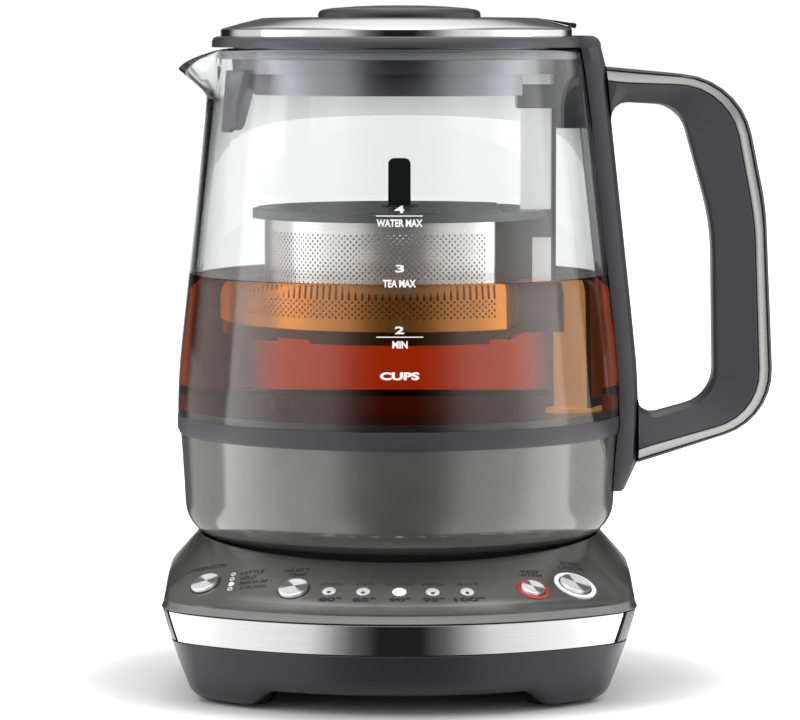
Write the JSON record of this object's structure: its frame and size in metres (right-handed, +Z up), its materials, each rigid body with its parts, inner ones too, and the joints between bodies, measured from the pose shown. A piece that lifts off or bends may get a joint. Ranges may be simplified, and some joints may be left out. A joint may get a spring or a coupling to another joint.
{
  "type": "automatic tea maker",
  "caption": "Automatic tea maker: a glass jug with a leaf basket that rides up and down a steel post, standing on a power base with a sloping control deck.",
  "frame": {"origin": "centre of the overall box at the height of the table, under the rubber feet", "axes": "+Z up from the table, +X to the handle's side, +Y to the back, so the controls face -Y"},
  "size_m": [0.1983, 0.171, 0.2223],
  "materials": {
    "dark_plastic": "satin, fine grain",
    "deck_metal": "smoky grey-green, satin",
    "chrome": "bright",
    "steel": "satin",
    "lid_metal": "polished",
    "black_plastic": "smooth",
    "grip_plastic": "soft satin",
    "handle_metal": "satin grey",
    "band_plastic": "satin",
    "collar_plastic": "smooth, slightly clear",
    "grey_plastic": "satin",
    "seam_plastic": "satin",
    "glass": "clear",
    "silicone": "matt",
    "rubber": "matt",
    "brass": "satin",
    "board": "circuit board, green mask",
    "light_lens": "frosted",
    "red_lens": "frosted red",
    "white_lens": "frosted white",
    "screw_steel": "zinc plated",
    "magnet": "ferrite in a sealed case"
  },
  "bodies": {
    "base": {"base_housing": "dark_plastic", "base_deck": "deck_metal", "chrome_band": "chrome", "rear_band": "dark_plastic", "well_tray": "black_plastic", "bottom_cover": "black_plastic", "rubber_feet": "rubber", "base_screws": "screw_steel", "cord_gland": "rubber", "control_board": "board", "indicator_lights": "light_lens", "warm_light_ring": "red_lens", "start_light_ring": "white_lens", "base_connector": "black_plastic", "base_contacts": "brass"},
    "strength_button": {"strength_button": "chrome"},
    "temperature_button": {"temperature_button": "chrome"},
    "warm_button": {"warm_button": "chrome"},
    "start_button": {"start_button": "chrome"},
    "socket": {"jug_socket": "black_plastic", "socket_contacts": "brass"},
    "jug": {"glass_jug": "glass", "seam_ring": "seam_plastic", "metal_shell": "deck_metal", "heater_plate": "steel", "plate_gasket": "silicone", "heating_element": "steel", "thermostat": "black_plastic", "lift_motor": "screw_steel", "jug_base_cover": "black_plastic", "spine": "grip_plastic", "handle_grip": "grip_plastic", "handle_cap": "handle_metal", "handle_strip": "dark_plastic", "basket_post": "chrome", "post_strip": "grey_plastic", "post_bracket": "grey_plastic"},
    "magnet": {"lift_magnet": "magnet"},
    "lid": {"lid_band": "band_plastic", "lid_cap": "lid_metal", "lid_collar": "collar_plastic", "lid_seal": "silicone", "lid_knob": "black_plastic", "knob_screw": "screw_steel", "lid_tab": "chrome", "lid_tab_tip": "black_plastic"},
    "basket": {"basket_frame": "grey_plastic", "basket_drum": "steel", "basket_floor": "steel", "basket_foot_ring": "grey_plastic", "basket_magnet": "magnet"},
    "basket_lid": {"basket_lid": "grey_plastic", "basket_lid_tab": "black_plastic"}
  },
  "joints": [
    {"name": "jug_lift", "type": "slide", "parent": "base", "child": "socket", "axis": [0, 0, 1], "range_m": [0, 0.12]},
    {"name": "jug_swivel", "type": "hinge", "parent": "socket", "child": "jug", "pos_m": [-0.0235, 0.0095, 0.0398], "axis": [0, 0, 1], "continuous": true},
    {"name": "lid_lift", "type": "slide", "parent": "jug", "child": "lid", "axis": [0, 0, 1], "range_m": [0, 0.06]},
    {"name": "basket_slide", "type": "slide", "parent": "jug", "child": "basket", "axis": [0, 0, 1], "range_m": [-0.021, 0.024]},
    {"name": "magnet_slide", "type": "slide", "parent": "jug", "child": "magnet", "axis": [0, 0, 1], "range_m": [-0.021, 0.024]},
    {"name": "basket_lid_lift", "type": "slide", "parent": "basket", "child": "basket_lid", "axis": [0, 0, 1], "range_m": [0, 0.01]},
    {"name": "strength_press", "type": "slide", "parent": "base", "child": "strength_button", "axis": [-0.197, -0.2441, 0.9496], "range_m": [-0.0008, 0], "stiffness_N_per_m": 300, "springref_m": 0.001},
    {"name": "temperature_press", "type": "slide", "parent": "base", "child": "temperature_button", "axis": [-0.0981, -0.2864, 0.9531], "range_m": [-0.0008, 0], "stiffness_N_per_m": 300, "springref_m": 0.001},
    {"name": "warm_press", "type": "slide", "parent": "base", "child": "warm_button", "axis": [0.1259, -0.2785, 0.9521], "range_m": [-0.0008, 0], "stiffness_N_per_m": 300, "springref_m": 0.001},
    {"name": "start_press", "type": "slide", "parent": "base", "child": "start_button", "axis": [0.1786, -0.2555, 0.9502], "range_m": [-0.0008, 0], "stiffness_N_per_m": 300, "springref_m": 0.001}
  ],
  "couplings": [
    {"joint": "magnet_slide", "follows": "basket_slide", "ratio": 1}
  ]
}
